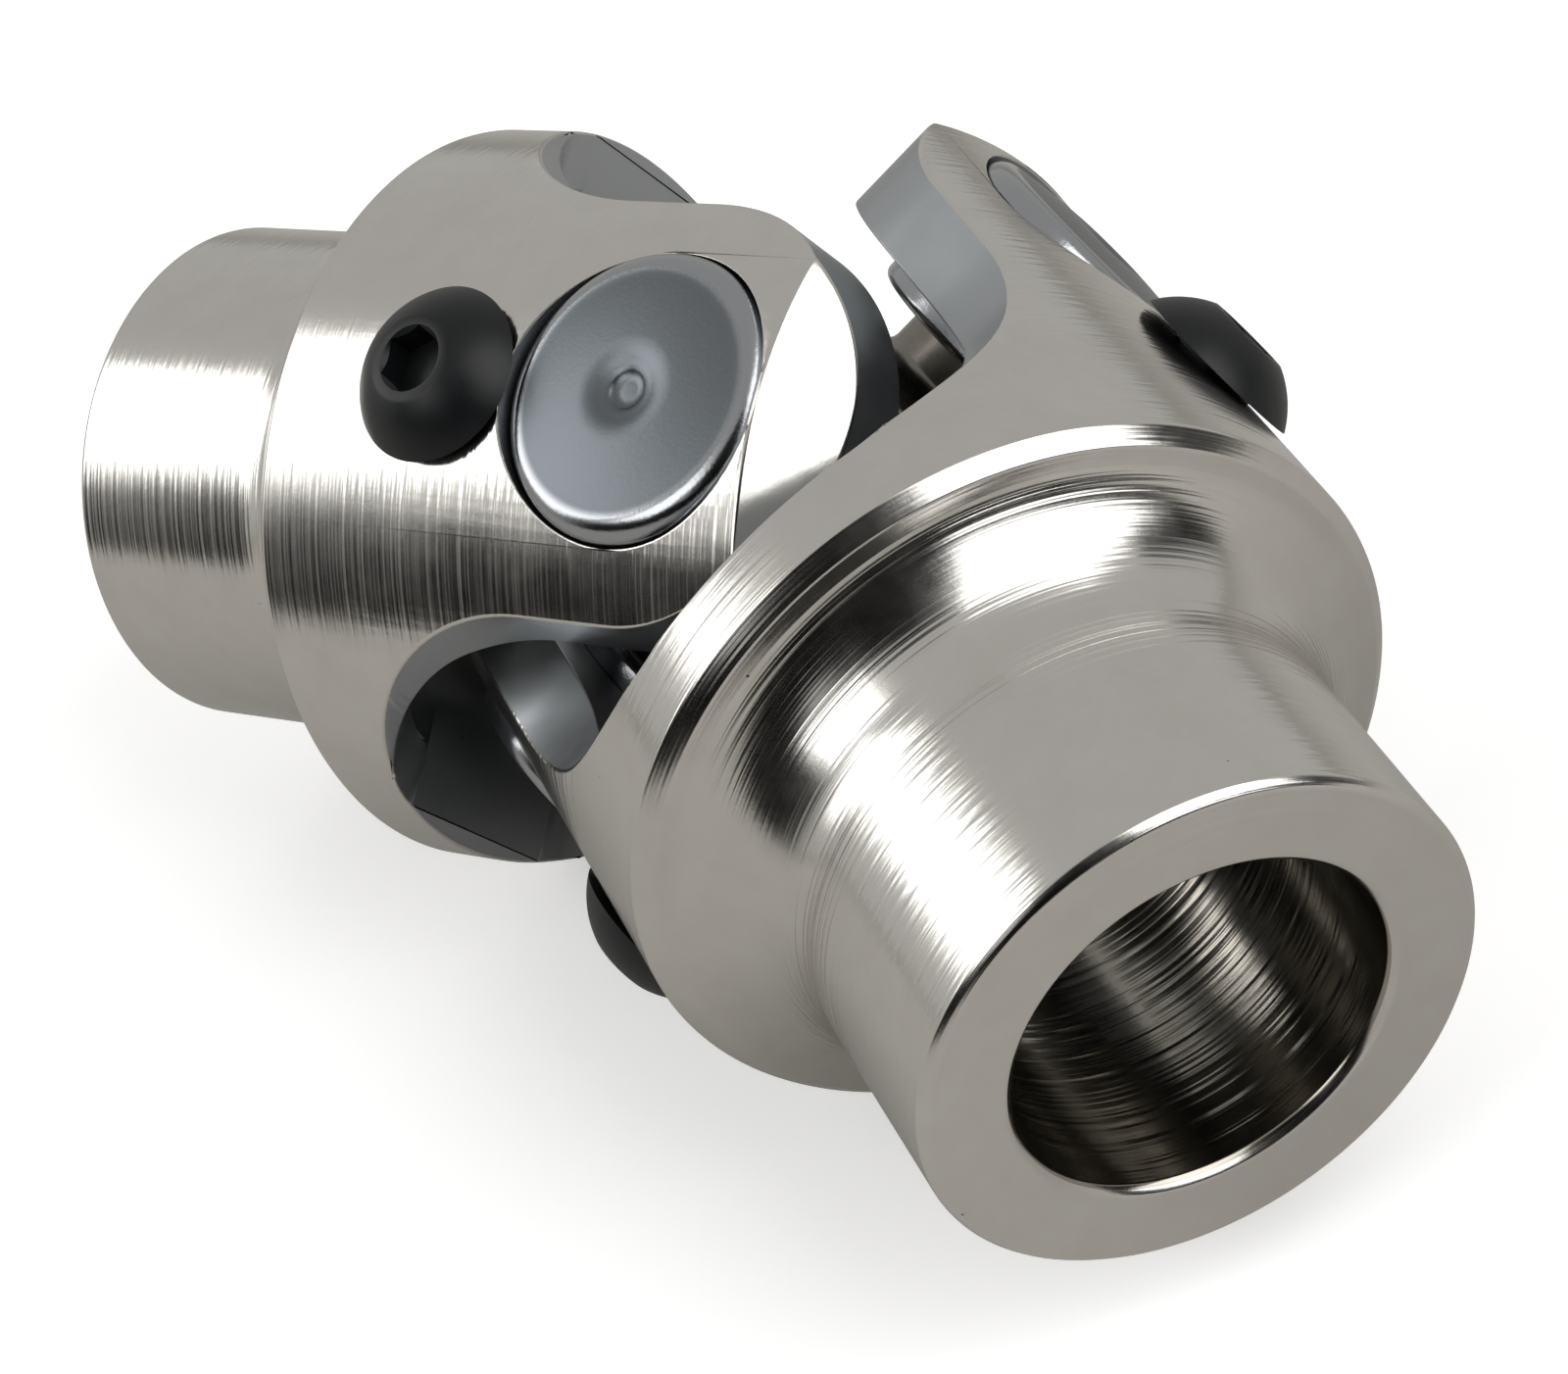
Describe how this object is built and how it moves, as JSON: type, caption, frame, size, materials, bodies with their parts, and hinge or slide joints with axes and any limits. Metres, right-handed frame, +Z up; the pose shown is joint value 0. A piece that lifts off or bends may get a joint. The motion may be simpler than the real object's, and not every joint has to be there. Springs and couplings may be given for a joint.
{
  "type": "steering universal joint",
  "caption": "Single Cardan universal joint with two bored round yokes, a four-armed cross, needle bearing cups held by button head screws, lying bent.",
  "frame": {"origin": "on the table, under the middle of the joint's box as it lies bent", "axes": "+Z up from the table, +X level along the line from the far hub to the near hub"},
  "size_m": [0.0874, 0.0484, 0.0423],
  "materials": {
    "nickel": "bright nickel plate over turned steel",
    "cup_steel": "ground and tumbled bearing steel",
    "bearing_steel": "ground bearing steel",
    "seal_rubber": "black nitrile rubber",
    "black_oxide": "black oxide on alloy steel"
  },
  "bodies": {
    "near_yoke": {"near_cup_a": "cup_steel", "near_cup_b": "cup_steel", "near_cup_screw_a": "black_oxide", "near_cup_screw_b": "black_oxide", "near_needle_washer_a": "bearing_steel", "near_needle_washer_b": "bearing_steel", "near_seal_a": "seal_rubber", "near_seal_b": "seal_rubber", "near_yoke": "nickel"},
    "cross": {"cross": "bearing_steel"},
    "far_yoke": {"far_cup_a": "cup_steel", "far_cup_b": "cup_steel", "far_cup_screw_a": "black_oxide", "far_cup_screw_b": "black_oxide", "far_needle_washer_a": "bearing_steel", "far_needle_washer_b": "bearing_steel", "far_seal_a": "seal_rubber", "far_seal_b": "seal_rubber", "far_yoke": "nickel"},
    "near_needle_sets": {"near_needles_a": "bearing_steel", "near_needles_b": "bearing_steel"},
    "far_needle_sets": {"far_needles_a": "bearing_steel", "far_needles_b": "bearing_steel"}
  },
  "joints": [
    {"name": "near_bend", "type": "hinge", "parent": "near_yoke", "child": "cross", "pos_m": [0, 0.00258, 0.02152], "axis": [0.3187, 0.8468, 0.4258], "range_deg": [-35.62, 12.38]},
    {"name": "far_bend", "type": "hinge", "parent": "cross", "child": "far_yoke", "pos_m": [0, 0.00258, 0.02152], "axis": [0.1071, -0.4785, 0.8715], "range_deg": [-74.97, 1.03]},
    {"name": "near_needles_roll", "type": "hinge", "parent": "near_yoke", "child": "near_needle_sets", "pos_m": [0, 0.00258, 0.02152], "axis": [0.3187, 0.8468, 0.4258], "range_deg": [-16, 6]},
    {"name": "far_needles_roll", "type": "hinge", "parent": "cross", "child": "far_needle_sets", "pos_m": [0, 0.00258, 0.02152], "axis": [0.1071, -0.4785, 0.8715], "range_deg": [-44, 1]}
  ],
  "couplings": [
    {"joint": "near_needles_roll", "follows": "near_bend", "ratio": 0.4229},
    {"joint": "far_needles_roll", "follows": "far_bend", "ratio": 0.5771}
  ]
}
